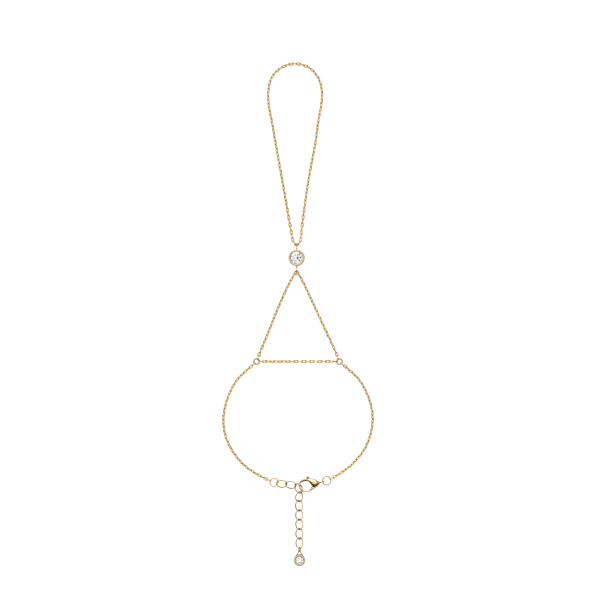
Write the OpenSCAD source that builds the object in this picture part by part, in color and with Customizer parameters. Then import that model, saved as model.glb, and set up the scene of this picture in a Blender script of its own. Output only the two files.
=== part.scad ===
// Hand chain bracelet, laid flat: finger loop at +Y, wrist loop in the middle, drop at -Y.
// Millimetres, +Z up from the surface it lies on.

/* [Fine chain] */
// Wire thickness of the fine cable chain
chain_wire = 0.25; // [0.22:0.01:0.28]
// Outer width of one fine link
chain_link_w = 1.3; // [1.26:0.02:1.4]
// Longest distance between two link ends, when the chain is taut
chain_pitch = 1.38; // [1.34:0.02:1.6]
// Distance between two link ends where the chain lies slack
chain_lay = 1.33; // [1.29:0.01:1.34]
// Clear space between a link and what it hooks into
chain_gap = 0.1; // [0.1:0.01:0.12]
// Distance between the two neighbours of the link that hangs on the upper bail
hook_lay = 0.99; // [0.97:0.01:1.02]

/* [Rings] */
// Outer diameter of a junction ring
junction_od = 2.5; // [2.4:0.1:3.2]
// Wire thickness of a junction ring
junction_wire = 0.4; // [0.3:0.05:0.45]
// Outer diameter of the ring between chain and clasp
clasp_ring_od = 3.4; // [3.2:0.1:4]
// Wire thickness of the clasp ring
clasp_ring_wire = 0.42; // [0.34:0.02:0.44]
// Outer diameter of the first extender ring
extender_ring_od = 3.25; // [3:0.05:4]
// Wire thickness of the extender ring
extender_ring_wire = 0.4; // [0.34:0.02:0.42]
// Outer diameter of the jump ring that holds the drop
drop_ring_od = 1.8; // [1.7:0.05:2.2]
// Wire thickness of the drop's jump ring
drop_ring_wire = 0.3; // [0.24:0.02:0.32]
// How far the drop's jump ring leans from upright
drop_ring_lean = 22; // [18:1:26]

/* [Main setting] */
// Diameter of the main stone
stone_d = 4.5; // [4:0.1:5]
// Wall of the main cup, outside the stone
cup_wall = 0.55; // [0.4:0.05:0.8]
// Closed back of the main cup
cup_floor = 0.25; // [0.2:0.05:0.4]
// Height of the rim above the stone's edge
cup_rim_h = 0.35; // [0.25:0.05:0.45]
// Bore of each upright bail
bail_bore = 1.16; // [1.12:0.02:1.3]
// Wire thickness of each bail
bail_wire = 0.3; // [0.26:0.02:0.32]
// Length of the solder post of the upper bail
upper_post = 0.15; // [0.1:0.05:0.6]
// Length of the solder post of the lower bail
lower_post = 0.4; // [0.1:0.05:0.8]

/* [Drop] */
// Diameter of the drop's stone
drop_stone_d = 3; // [2.6:0.1:3.4]
// Wall of the drop's cup, outside the stone
drop_wall = 0.45; // [0.35:0.05:0.6]
// Closed back of the drop's cup
drop_floor = 0.2; // [0.2:0.05:0.3]
// Height of the drop's rim above the stone's edge
drop_rim_h = 0.3; // [0.2:0.05:0.4]
// Bore of the flat loop on the drop
drop_loop_bore = 0.84; // [0.8:0.02:1]
// Wire thickness of the flat loop on the drop
drop_loop_wire = 0.36; // [0.3:0.02:0.4]

/* [Stone cut] */
// Table width as a share of the stone's diameter
table_share = 0.56; // [0.52:0.01:0.62]
// Crown height as a share of the stone's diameter
crown_share = 0.15; // [0.12:0.01:0.17]
// Pavilion depth as a share of the stone's diameter
pavilion_share = 0.41; // [0.38:0.01:0.43]
// Thickness of the stone's edge
girdle_t = 0.1; // [0.06:0.01:0.14]
// Clear space between a stone and its cup
stone_gap = 0.05; // [0.03:0.01:0.08]
// How far a cup's rim reaches over the stone
rim_reach = 0.1; // [0.08:0.01:0.16]

/* [Extender] */
// Distance between two extender links
extender_pitch = 3.27; // [3.1:0.01:3.6]
// Outer width of an extender link
extender_link_w = 2.85; // [2.6:0.05:3.2]
// Wire thickness of an extender link
extender_wire = 0.38; // [0.34:0.02:0.4]
// Clear space between hooked extender links
extender_gap = 0.14; // [0.12:0.01:0.16]
// How far the sides of an extender link are twisted up and down
extender_twist = 0.46; // [0.44:0.01:0.5]

/* [Clasp] */
// Outer diameter of the claw
claw_od = 4.9; // [4.6:0.1:5.4]
// Width of the claw's bar, seen from above
claw_bar = 0.48; // [0.4:0.02:0.56]
// Height of the claw's bar
claw_h = 1.05; // [1:0.05:1.1]
// Direction of the claw's open tip, seen from its centre
tip_angle = 36; // [30:1:42]
// Diameter of the clasp's round body
clasp_body_d = 3.7; // [3.4:0.1:4]
// Full height of the clasp's body
clasp_body_h = 2.3; // [2.2:0.1:2.4]
// Distance from the body's centre to the neck
neck_reach = 2.75; // [2.6:0.05:3]
// Diameter of the neck
neck_d = 0.8; // [0.7:0.05:0.9]
// Bore of the upright eye behind the neck
eye_bore = 1.04; // [1:0.02:1.2]
// Wire thickness of the eye
eye_wire = 0.4; // [0.34:0.02:0.44]
// Width of the lever's arm, seen from above
lever_bar = 0.7; // [0.6:0.05:0.8]
// Height of the lever where it sits in the slot
lever_t = 0.7; // [0.6:0.05:0.8]
// Radius of the lever's hub round the pin
hub_r = 0.72; // [0.62:0.02:0.76]
// Diameter of the pivot pin
pin_d = 0.56; // [0.5:0.02:0.6]
// Diameter of the thumb knob
knob_d = 0.88; // [0.8:0.04:1]
// How far the knob's centre stands outside the lever's arm
knob_out = 0.32; // [0.24:0.02:0.36]
// Clear space between lever and slot walls
slot_gap = 0.1; // [0.08:0.01:0.14]
// Running clearance of the lever's bore round the pin
pin_run = 0.05; // [0.03:0.01:0.08]
// Clearance of the pin in the body
pin_seat = 0.02; // [0.01:0.01:0.03]
// Clear space between the lever's nose and the claw's tip
nose_gap = 0.05; // [0.04:0.01:0.1]

/* [Places] */
// Main stone across the hand
bezel_x = -0.5; // [-2:0.1:2]
// Main stone along the hand
bezel_y = 19.8; // [19:0.1:20.4]
// Half the distance between the junction rings
junction_x = 14.5; // [14:0.1:15]
// Junction rings along the hand
junction_y = -16.5; // [-17:0.1:-16]
// Extender ring across the hand
extender_ring_x = -8.4; // [-8.8:0.1:-8]
// Extender ring along the hand
extender_ring_y = -58.8; // [-59.2:0.1:-58.4]
// Clasp's body centre across the hand
clasp_x = 5; // [4.6:0.1:5.4]
// Clasp's body centre along the hand
clasp_y = -59.4; // [-59.8:0.1:-59]
// Direction from the clasp's body to its claw
clasp_turn = 193; // [188:1:198]
// Drop's stone across the hand
drop_x = 0.5; // [0:0.1:1]

/* [Hidden] */
$fn = 24;

gold = [0.87, 0.72, 0.45];
clear_stone = [0.86, 0.9, 0.93];

// Points along the chains, chosen by hand where they lie
finger_points = [
    [-1.9, 25.8], [-2.3, 28.4], [-3.2, 33.4], [-4.8, 42.8], [-6.3, 51.2], [-7.8, 59.6],
    [-9.2, 67.6], [-10.3, 73.6], [-10.4, 78.4], [-9.2, 83], [-6.4, 86], [-2.7, 87.6],
    [1.1, 87.5], [4.8, 85.7], [7.4, 82.2], [8.4, 77.6], [8.1, 73.2], [7.1, 67.6],
    [6, 59.6], [4.4, 51.2], [3, 42.8], [1.7, 33.4], [1.1, 28.4], [0.9, 25.8]
];
hand_points_left = [[-13.3, -13.2], [-12.1, -10.4], [-9.8, -4.8], [-7.6, 0.8], [-5.1, 6.6], [-2.5, 12]];
hand_points_right = [[1.4, 12], [4, 6.6], [6.7, 0.8], [9.3, -4.8], [11.9, -10.4], [13.2, -13.2]];
wrist_points_left = [
    [-17.2, -18.9], [-21.4, -23], [-24.4, -28.6], [-25.9, -34.2], [-26.1, -38.6],
    [-25.2, -43.2], [-23, -47.8], [-19.3, -52.4], [-15.6, -55.2], [-12, -57.2]
];
wrist_points_right = [
    [17.1, -18.8], [21.5, -23], [24.5, -28.6], [26, -34.2], [26, -38.6],
    [25, -43.2], [22.9, -47.8], [19, -52.4], [15.6, -55.1], [12.8, -56.8]
];
// Where the straight run of extender links begins, below the clasp
extender_fall_top = [0.33, -65.37];

link_r = (chain_link_w - chain_wire) / 2;
link_len = chain_pitch + chain_wire + chain_gap;
chain_rest_z = chain_link_w / 2;
// Clear space between a larger ring and what it hooks into
ring_gap = 0.11;

stone_r = stone_d / 2;
// Bevel of a cup's edges and width of the ledge below the stone, as shares of its wall
cup_bevel = 0.4;
cup_ledge = 0.5;
cup_r = stone_r + stone_gap + cup_wall;
bail_r = (bail_bore + bail_wire) / 2;
bail_z = bail_r + bail_wire / 2;
upper_bail_y = bezel_y + cup_r + upper_post + bail_wire / 2 + bail_r;
lower_bail_y = bezel_y - cup_r - lower_post - bail_wire / 2 - bail_r;
finger_start = [bezel_x, upper_bail_y + bail_r];
hand_start = [bezel_x, lower_bail_y - bail_r];

junction_left = [-junction_x, junction_y];
junction_right = [junction_x, junction_y];
extender_ring_at = [extender_ring_x, extender_ring_y];
extender_ring_lift = 0.05;

eye_r = (eye_bore + eye_wire) / 2;
eye_u = -neck_reach - neck_d / 2 - eye_r + eye_wire / 2;
clasp_mid_z = clasp_body_h / 2;
clasp_dir = [cos(clasp_turn), sin(clasp_turn)];
clasp_ring_r = (clasp_ring_od - clasp_ring_wire) / 2;
clasp_ring_at = [clasp_x, clasp_y] + clasp_dir * (eye_u - clasp_ring_r);

// The claw's ring and the pivot, along the clasp from its body's centre
claw_r = claw_od / 2;
claw_side = 0.1;
claw_at = [claw_r, claw_side];
claw_web = 0.1;
claw_hole_r = claw_r - claw_bar - claw_web;
claw_root_angle = -150;
pivot_at = [-0.3, 0.5];
// The lever's bent arm ends at arm_angle, and its straight root and its knob lie at root_angle
arm_angle = 105;
root_angle = 118;
root_r = 0.5;
lever_root = claw_at + (claw_r - root_r) * [cos(root_angle), sin(root_angle)];
knob_at = claw_at + (claw_r + knob_out) * [cos(root_angle), sin(root_angle)];
// The body's two cheeks reach along the lever's root, a little lower than the body
cheek_r = 0.5;
cheek_drop = 0.3;
cheek_reach = 0.8;
cheek_h = clasp_body_h - cheek_drop;
cheek_at = pivot_at + (lever_root - pivot_at) * cheek_reach;
// How far a cut runs past what it cuts
cut_over = 1;

hand_tube_d = 1;
hand_tube_sides = 8;
hand_tube_steps = 3;

// How much thicker a solder post is than the wire it holds
post_share = 1.3;
// Length of finger chain over which it comes down from the bail to the surface
rise_run = 6;
// Share of a chain's length over which its links turn from flat to slanting
cross_turn_in = 0.3;
wrist_turn_in = 0.12;

drop_ring_r = (drop_ring_od - drop_ring_wire) / 2;
drop_ring_z = drop_ring_r * cos(drop_ring_lean) + drop_ring_wire / 2;
drop_loop_r = (drop_loop_bore + drop_loop_wire) / 2;
drop_cup_r = drop_stone_d / 2 + stone_gap + drop_wall;
fall_links = 5;
fall_run = fall_links * extender_pitch;
fall_way = [
    drop_x - extender_fall_top.x,
    -sqrt(fall_run * fall_run - pow(drop_x - extender_fall_top.x, 2))
];
// The last extender link and the drop's loop both stay clear of the leaning ring's wire
drop_hole_r = drop_ring_od / 2 - drop_ring_wire;
drop_link_reach = drop_hole_r - ring_gap - extender_wire / 2;
drop_link_drop = drop_ring_z - extender_twist - extender_wire / 2;
drop_link_in = sqrt(max(0, pow(drop_link_reach, 2) - pow(drop_link_drop, 2)));
drop_ring_y = extender_fall_top.y + fall_way.y - (extender_wire + extender_gap) / 2 - drop_link_in;
drop_loop_y = drop_ring_y - drop_hole_r + ring_gap + drop_loop_wire / 2 - drop_loop_r;
drop_post = 0.3;
drop_y = drop_loop_y - drop_loop_r - drop_post - drop_cup_r;

function unit(v) = v / norm(v);

// Point of a smooth curve between b and c, with a before and d after them
function spline_point(a, b, c, d, t) =
    0.5 * (2 * b + (c - a) * t + (2 * a - 5 * b + 4 * c - d) * t * t + (3 * b - a - 3 * c + d) * t * t * t);

// Smooth points through an open route, steps for each stretch
function smooth_open(route, steps = 12) =
    let (n = len(route), first = 2 * route[0] - route[1], last = 2 * route[n - 1] - route[n - 2])
    concat(
        [for (i = [0 : n - 2], k = [0 : steps - 1])
            spline_point(
                i == 0 ? first : route[i - 1], route[i], route[i + 1],
                i == n - 2 ? last : route[i + 2], k / steps
            )],
        [route[n - 1]]
    );

// Smooth points round a closed route, back to its first point
function smooth_closed(route, steps = 12) =
    let (n = len(route))
    concat(
        [for (i = [0 : n - 1], k = [0 : steps - 1])
            spline_point(route[(i + n - 1) % n], route[i], route[(i + 1) % n], route[(i + 2) % n], k / steps)],
        [route[0]]
    );

// Distance run at each point
function run_lengths(points) =
    [for (i = 0, s = 0; i < len(points);
        s = s + (i + 1 < len(points) ? norm(points[i + 1] - points[i]) : 0), i = i + 1) s];

// Point at the distance s
function point_at(points, runs, s) = [
    lookup(s, [for (i = [0 : len(points) - 1]) [runs[i], points[i].x]]),
    lookup(s, [for (i = [0 : len(points) - 1]) [runs[i], points[i].y]])
];

// Where a chain's last link meets a ring, on the side that faces the next point
function ring_meet(centre, od, wire, toward) =
    centre + unit(toward - centre) * (od / 2 - wire - chain_gap / 2);

finger_route = smooth_closed(concat(
    [finger_start, finger_start - [hook_lay / 2, 0]],
    finger_points,
    [finger_start + [hook_lay / 2, 0]]
));
cross_route = [
    ring_meet(junction_left, junction_od, junction_wire, junction_right),
    ring_meet(junction_right, junction_od, junction_wire, junction_left)
];
wrist_route_left = smooth_open(concat(
    [ring_meet(junction_left, junction_od, junction_wire, wrist_points_left[0])],
    wrist_points_left,
    [ring_meet(extender_ring_at, extender_ring_od, extender_ring_wire, wrist_points_left[len(wrist_points_left) - 1])]
));
wrist_route_right = smooth_open(concat(
    [ring_meet(junction_right, junction_od, junction_wire, wrist_points_right[0])],
    wrist_points_right,
    [ring_meet(clasp_ring_at, clasp_ring_od, clasp_ring_wire, wrist_points_right[len(wrist_points_right) - 1])]
));

// How the links between the extender ring and the straight run lie: across and along from
// the extender ring, roll, tip, heading, and lift above the surface
hooked_lie = [
    [2.65, -0.5, -13, -3, -2, 0],
    [5.85, -0.85, -8, -4, -9, 0.2],
    [8.65, -2, -6, -20, -57, 0],
    [8.75, -5, -10, 16, -94, 0.05]
];
extender_steps = 20;
extender_sides = 6;

// One fine link: an oval of round wire, long along X and flat in XY
module fine_link() {
    straight = link_len - 2 * link_r;
    for (end = [-1, 1]) {
        translate([end * straight / 2, 0, 0])
            rotate([0, 0, -90 * end])
            rotate_extrude(angle = 180)
            translate([link_r, 0])
            circle(d = chain_wire);
        translate([-straight / 2, end * link_r, 0])
            rotate([0, 90, 0])
            cylinder(d = chain_wire, h = straight);
    }
}

// Fine links laid end to end. Each is turned a quarter from the last, and turns adds
// [share of length, degrees]. A closed chain's first link is centred on the first point,
// first_lay long, and rises lifts the links near it.
module fine_chain(points, closed, first_roll, links, first_lay, turns, rises) {
    runs = run_lengths(points);
    total = runs[len(runs) - 1];
    start = closed ? -first_lay / 2 : 0;
    lay = (total - first_lay) / (links - 1);
    ends = [for (j = [0 : links])
        let (
            s = start + (j == 0 ? 0 : first_lay + (j - 1) * lay),
            along = s < 0 ? s + total : s,
            turn = lookup(along / total, turns),
            lift = lookup(min(along, total - along), rises),
            z = chain_wire / 2 + link_r * max(abs(cos(turn)), abs(sin(turn))) + lift
        )
        concat(point_at(points, runs, along), [z])];
    for (i = [0 : links - 1]) {
        way = ends[i + 1] - ends[i];
        heading = atan2(way.y, way.x);
        climb = atan2(way.z, norm([way.x, way.y]));
        roll = first_roll + 90 * i + lookup((i + (closed ? 0 : 0.5)) / links, turns);
        translate((ends[i] + ends[i + 1]) / 2)
            rotate([roll, -climb, heading])
            fine_link();
    }
}

module finger_chain() color(gold) {
    runs = run_lengths(finger_route);
    total = runs[len(runs) - 1];
    fine_chain(
        finger_route, true, 0, 2 * round(total / chain_lay / 2), hook_lay,
        [[0, 0], [0.09, 0], [0.13, 45], [0.44, 45], [0.5, 15], [0.56, 45], [0.87, 45], [0.91, 0], [1, 0]],
        [[0, bail_z - chain_rest_z], [1, bail_z - chain_rest_z], [rise_run, 0]]
    );
}

// An open chain between two flat rings: its first and last links stand upright
module ring_to_ring(points, lay, turn_in) {
    runs = run_lengths(points);
    total = runs[len(runs) - 1];
    links = ceil(total / lay);
    last_turn = links % 2 == 1 ? 0 : 90;
    turns = [[0, 0], [turn_in, 45], [1 - turn_in, 45], [1, last_turn]];
    fine_chain(points, false, 90, links, total / links, turns, [[0, 0]]);
}

module cross_chain() color(gold) ring_to_ring(cross_route, chain_pitch, cross_turn_in);

module wrist_chain_left() color(gold) ring_to_ring(wrist_route_left, chain_lay, wrist_turn_in);

module wrist_chain_right() color(gold) ring_to_ring(wrist_route_right, chain_lay, wrist_turn_in);

// Wire carried along a list of points, closed on itself or capped at both ends
module wire_along(path, d, sides, closed) {
    n = len(path);
    stretches = closed ? n : n - 1;
    points = [for (i = [0 : n - 1])
        let (
            before = path[closed ? (i + n - 1) % n : max(i - 1, 0)],
            after = path[closed ? (i + 1) % n : min(i + 1, n - 1)],
            way = unit(after - before),
            side = unit(cross(way, [0, 0, 1])),
            up = cross(side, way)
        )
        for (k = [0 : sides - 1])
            path[i] + d / 2 * (cos(360 * k / sides) * side + sin(360 * k / sides) * up)];
    walls = [for (i = [0 : stretches - 1], k = [0 : sides - 1])
        let (
            here = i * sides,
            there = (i + 1) % n * sides,
            next = (k + 1) % sides
        )
        each [[here + k, here + next, there + next], [here + k, there + next, there + k]]];
    caps = closed ? [] : [
        [for (k = [sides - 1 : -1 : 0]) k],
        [for (k = [0 : sides - 1]) (n - 1) * sides + k]
    ];
    polyhedron(points, concat(walls, caps), convexity = 6);
}

// The V of fine chain as one tube as thick as its links, with its top bend below the bail
module hand_chain() color(gold) {
    bend = hand_start - [0, bail_wire / 2 + chain_gap + hand_tube_d / 2];
    gap = hand_tube_d / 2 + chain_gap;
    left_dir = unit(hand_points_left[0] - junction_left);
    right_dir = unit(hand_points_right[len(hand_points_right) - 1] - junction_right);
    route = smooth_open(concat(
        [junction_left + left_dir * (junction_od / 2 + gap)],
        hand_points_left,
        [bend],
        hand_points_right,
        [junction_right + right_dir * (junction_od / 2 + gap)]
    ), hand_tube_steps);
    wire_along([for (p = route) [p.x, p.y, chain_rest_z]], hand_tube_d, hand_tube_sides, false);
}

// Round wire ring lying flat, its centre at the origin
module ring(od, wire) {
    rotate_extrude()
        translate([(od - wire) / 2, 0])
        circle(d = wire);
}

module junction_ring_left() color(gold)
    translate([junction_left.x, junction_left.y, chain_rest_z])
    ring(junction_od, junction_wire);

module junction_ring_right() color(gold)
    translate([junction_right.x, junction_right.y, chain_rest_z])
    ring(junction_od, junction_wire);

module extender_ring() color(gold)
    translate([extender_ring_at.x, extender_ring_at.y, chain_rest_z + extender_ring_lift])
    ring(extender_ring_od, extender_ring_wire);

// Lies on the chain at one side and is lifted by the clasp's eye at the other
module clasp_ring() color(gold) {
    eye_side_z = clasp_mid_z - eye_bore / 2 + ring_gap + clasp_ring_wire / 2;
    lift = (eye_side_z - chain_rest_z) / 2;
    translate([clasp_ring_at.x, clasp_ring_at.y, chain_rest_z + lift])
        rotate(a = asin(lift / clasp_ring_r), v = [clasp_dir.y, -clasp_dir.x, 0])
        ring(clasp_ring_od, clasp_ring_wire);
}

// Top of a stone's edge above the back of its cup
function edge_z(d, floor_t) = floor_t + stone_gap + pavilion_share * d + girdle_t;

// Round cup with a flat back, a ledge under the stone's edge and a rim pressed over it
module cup(d, wall, floor_t, rim_h) {
    r = d / 2;
    seat_r = r + stone_gap;
    out_r = seat_r + wall;
    edge = edge_z(d, floor_t);
    top = edge + rim_h;
    bevel = wall * cup_bevel;
    ledge_r = r - wall * cup_ledge;
    slope = 2 * pavilion_share;
    ledge_z = edge - girdle_t - slope * (r - ledge_r) - stone_gap * sqrt(1 + slope * slope);
    rotate_extrude()
        polygon([
            [0, 0], [out_r - bevel, 0], [out_r, bevel], [out_r, top - bevel], [out_r - bevel, top],
            [r - rim_reach, top], [r - rim_reach, edge + rim_reach + stone_gap],
            [seat_r, edge + stone_gap], [seat_r, edge - girdle_t - stone_gap],
            [ledge_r, ledge_z], [ledge_r, floor_t], [0, floor_t]
        ]);
}

// Round brilliant with 57 facets, the top of its edge at z = 0
module brilliant(d) {
    r = d / 2;
    crown_h = crown_share * d;
    pavilion_h = pavilion_share * d;
    lower_share = 0.25;
    table_r = table_share * r;
    star_r = (table_r * cos(22.5) + r) / 2;
    star_z = crown_h * (1 - (star_r * cos(22.5) - table_r) / (r - table_r));
    lower_r = lower_share * r;
    lower_z = -girdle_t - pavilion_h * (1 - lower_r * cos(22.5) / r);
    function circle_of(n, radius, z, start) =
        [for (k = [0 : n - 1]) [radius * cos(start + 360 * k / n), radius * sin(start + 360 * k / n), z]];
    points = concat(
        circle_of(8, table_r, crown_h, 0),
        circle_of(8, star_r, star_z, 22.5),
        circle_of(16, r, 0, 0),
        circle_of(16, r, -girdle_t, 0),
        circle_of(8, lower_r, lower_z, 22.5),
        [[0, 0, -girdle_t - pavilion_h]]
    );
    star = 8;
    edge = 16;
    under = 32;
    lower = 48;
    culet = 56;
    faces = concat(
        [[for (k = [7 : -1 : 0]) k]],
        [for (k = [0 : 7])
            let (next = (k + 1) % 8, last = (k + 7) % 8, mid = 2 * k + 1, far = (2 * k + 2) % 16)
            each [
                [k, next, star + k],
                [k, star + k, edge + 2 * k, star + last],
                [star + k, edge + mid, edge + 2 * k],
                [star + k, edge + far, edge + mid],
                [lower + k, under + 2 * k, under + mid],
                [lower + k, under + mid, under + far],
                [culet, lower + last, under + 2 * k, lower + k]
            ]],
        [for (k = [0 : 15]) [edge + k, edge + (k + 1) % 16, under + (k + 1) % 16, under + k]]
    );
    polyhedron(points, faces, convexity = 2);
}

// Upright ring soldered to the cup by a short post, side 1 above the stone and -1 below it
module bail(side, ring_y) {
    wall_y = bezel_y + side * (cup_r - cup_wall / 2);
    near_y = ring_y - side * bail_r;
    translate([bezel_x, ring_y, bail_z])
        rotate([0, 90, 0])
        ring(2 * bail_r + bail_wire, bail_wire);
    translate([bezel_x, wall_y, bail_z])
        rotate([-90 * side, 0, 0])
        cylinder(d = bail_wire * post_share, h = abs(near_y - wall_y));
}

module bezel_setting() color(gold) {
    translate([bezel_x, bezel_y, 0]) cup(stone_d, cup_wall, cup_floor, cup_rim_h);
    bail(1, upper_bail_y);
    bail(-1, lower_bail_y);
}

module bezel_stone() color(clear_stone)
    translate([bezel_x, bezel_y, edge_z(stone_d, cup_floor)])
    brilliant(stone_d);

// Places what is modelled along the clasp: X to the claw, Y to the lever, seen from above
module at_clasp() {
    translate([clasp_x, clasp_y, 0])
        rotate([0, 0, clasp_turn])
        mirror([0, 1, 0])
        children();
}

// Points where the common tangent of two circles touches them, on side 1 or -1
function tangent_points(c1, r1, c2, r2, side) =
    let (
        way = c2 - c1,
        along = atan2(way.y, way.x),
        off = acos((r1 - r2) / norm(way)),
        dir = [cos(along + side * off), sin(along + side * off)]
    )
    [c1 + r1 * dir, c2 + r2 * dir];

// Flat strip that joins two circles along both of their common tangents
module tangent_strip(c1, r1, c2, r2) {
    upper = tangent_points(c1, r1, c2, r2, 1);
    lower = tangent_points(c1, r1, c2, r2, -1);
    polygon([upper[0], upper[1], lower[1], lower[0]]);
    translate(c1) circle(r = r1);
    translate(c2) circle(r = r2);
}

// Bar bent round the claw's centre, with rounded edges, from one direction to another
module claw_bar_arc(inner_r, outer_r, from, to) {
    bar = outer_r - inner_r;
    translate([claw_at.x, claw_at.y, clasp_mid_z])
        rotate([0, 0, from])
        rotate_extrude(angle = to - from)
        translate([(inner_r + outer_r) / 2, 0]) {
            square([bar, claw_h - bar], center = true);
            for (end = [-1, 1])
                translate([0, end * (claw_h - bar) / 2])
                circle(d = bar);
        }
}

module clasp_body() color(gold) at_clasp() {
    body_r = clasp_body_d / 2;
    edge_h = (clasp_body_h - claw_h) / 2;
    under_arm = tangent_points([0, 0], body_r, claw_at, claw_r, -1);
    difference() {
        union() {
            translate([0, 0, edge_h])
                linear_extrude(claw_h) {
                    tangent_strip([0, 0], body_r, [-neck_reach, 0], neck_d / 2);
                    polygon([[0, 0], claw_at, under_arm[1], under_arm[0]]);
                }
            rotate_extrude()
                polygon([
                    [0, 0], [body_r - edge_h, 0], [body_r, edge_h],
                    [body_r, clasp_body_h - edge_h], [body_r - edge_h, clasp_body_h], [0, clasp_body_h]
                ]);
            translate([-neck_reach, 0, clasp_mid_z])
                rotate([0, 90, 0])
                cylinder(d1 = neck_d, d2 = clasp_body_h, h = neck_reach);
            translate([0, 0, (clasp_body_h - cheek_h) / 2])
                linear_extrude(cheek_h)
                tangent_strip([0, 0], body_r - edge_h, cheek_at, cheek_r);
        }
        translate([claw_at.x, claw_at.y, -cut_over])
            cylinder(r = claw_hole_r, h = clasp_body_h + 2 * cut_over);
        translate([0, 0, clasp_mid_z - lever_t / 2 - slot_gap])
            linear_extrude(lever_t + 2 * slot_gap) {
                tangent_strip(pivot_at, hub_r + slot_gap, lever_root, root_r + slot_gap);
                polygon([
                    pivot_at, pivot_at - [hub_r + slot_gap, 0], pivot_at + [-hub_r - slot_gap, claw_r],
                    pivot_at + [claw_r, claw_r], lever_root
                ]);
            }
        translate([pivot_at.x, pivot_at.y, -cut_over])
            cylinder(d = pin_d + 2 * pin_seat, h = clasp_body_h + 2 * cut_over);
    }
    claw_bar_arc(claw_r - claw_bar, claw_r, claw_root_angle, tip_angle);
    translate([-neck_reach - neck_d / 2, 0, clasp_mid_z])
        rotate([0, 90, 0])
        cylinder(d = eye_wire * post_share, h = neck_d);
    translate([eye_u, 0, clasp_mid_z])
        rotate([90, 0, 0])
        ring(2 * eye_r + eye_wire, eye_wire);
}

module clasp_rivet() color(gold) at_clasp()
    translate([pivot_at.x, pivot_at.y, pin_seat])
    cylinder(d = pin_d, h = clasp_body_h - 2 * pin_seat);

module clasp_lever() color(gold) at_clasp() {
    nose_angle = tip_angle + nose_gap / claw_r * 180 / PI;
    difference() {
        union() {
            claw_bar_arc(claw_r - lever_bar, claw_r, nose_angle, arm_angle);
            translate([0, 0, clasp_mid_z - lever_t / 2])
                linear_extrude(lever_t)
                tangent_strip(pivot_at, hub_r, lever_root, root_r);
            translate([knob_at.x, knob_at.y, clasp_mid_z])
                sphere(d = knob_d);
        }
        translate([pivot_at.x, pivot_at.y, -cut_over])
            cylinder(d = pin_d + 2 * pin_run, h = clasp_body_h + 2 * cut_over);
    }
}

// Centre line of one twisted extender link, long along X
extender_path = [for (k = [0 : extender_steps - 1])
    let (turn = 360 * k / extender_steps)
    [
        (extender_pitch + extender_wire + extender_gap) / 2 * cos(turn),
        (extender_link_w - extender_wire) / 2 * sin(turn),
        extender_twist * sin(2 * turn)
    ]];

// An extender link with its centre at [x, y], turned, and lifted clear of the surface
module placed_link(at, roll, tip, heading, lift) {
    lowest = min([for (p = extender_path)
        cos(tip) * (p.y * sin(roll) + p.z * cos(roll)) - p.x * sin(tip)]);
    translate([at.x, at.y, extender_wire / 2 - lowest + lift])
        rotate([roll, tip, heading])
        wire_along(extender_path, extender_wire, extender_sides, true);
}

module hooked_link(number) color(gold) {
    lie = hooked_lie[number - 1];
    placed_link(extender_ring_at + [lie[0], lie[1]], lie[2], lie[3], lie[4], lie[5]);
}

module hanging_link(number) color(gold)
    placed_link(
        extender_fall_top + fall_way * (number - 0.5) / fall_links,
        0, 0, atan2(fall_way.y, fall_way.x), 0
    );

module extender_link_1() hooked_link(1);
module extender_link_2() hooked_link(2);
module extender_link_3() hooked_link(3);
module extender_link_4() hooked_link(4);
module extender_link_5() hanging_link(1);
module extender_link_6() hanging_link(2);
module extender_link_7() hanging_link(3);
module extender_link_8() hanging_link(4);
module extender_link_9() hanging_link(5);

module drop_ring() color(gold)
    translate([drop_x, drop_ring_y, drop_ring_z])
    rotate([0, 90 - drop_ring_lean, 0])
    ring(drop_ring_od, drop_ring_wire);

module drop_setting() color(gold) {
    wall_y = drop_y + drop_cup_r - drop_wall / 2;
    translate([drop_x, drop_y, 0]) cup(drop_stone_d, drop_wall, drop_floor, drop_rim_h);
    translate([drop_x, drop_loop_y, drop_ring_z])
        ring(2 * drop_loop_r + drop_loop_wire, drop_loop_wire);
    translate([drop_x, wall_y, drop_ring_z])
        rotate([-90, 0, 0])
        cylinder(d = drop_loop_wire * post_share, h = drop_loop_y - drop_loop_r - wall_y);
}

module drop_stone() color(clear_stone)
    translate([drop_x, drop_y, edge_z(drop_stone_d, drop_floor)])
    brilliant(drop_stone_d);

finger_chain();
bezel_setting();
bezel_stone();
hand_chain();
cross_chain();
junction_ring_left();
junction_ring_right();
wrist_chain_left();
wrist_chain_right();
clasp_ring();
clasp_body();
clasp_rivet();
clasp_lever();
extender_ring();
extender_link_1();
extender_link_2();
extender_link_3();
extender_link_4();
extender_link_5();
extender_link_6();
extender_link_7();
extender_link_8();
extender_link_9();
drop_ring();
drop_setting();
drop_stone();
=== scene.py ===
"""Looks of a hand chain bracelet laid flat: gold wire links, two bezel-set stones, a lobster clasp and an extender."""

import bmesh
import bpy
import numpy as np
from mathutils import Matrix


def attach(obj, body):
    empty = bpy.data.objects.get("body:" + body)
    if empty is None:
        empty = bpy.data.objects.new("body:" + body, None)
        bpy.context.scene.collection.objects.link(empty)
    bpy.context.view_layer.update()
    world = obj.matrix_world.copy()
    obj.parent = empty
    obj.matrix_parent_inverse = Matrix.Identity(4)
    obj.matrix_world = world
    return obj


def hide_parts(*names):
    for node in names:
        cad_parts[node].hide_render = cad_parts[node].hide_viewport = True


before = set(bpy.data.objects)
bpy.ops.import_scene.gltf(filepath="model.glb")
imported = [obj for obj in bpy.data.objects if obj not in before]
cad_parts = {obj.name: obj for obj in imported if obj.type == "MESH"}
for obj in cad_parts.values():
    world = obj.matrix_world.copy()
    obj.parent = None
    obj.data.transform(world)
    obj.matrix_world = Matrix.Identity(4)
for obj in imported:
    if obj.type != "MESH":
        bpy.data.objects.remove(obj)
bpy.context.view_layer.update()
mm = 0.001

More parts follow.
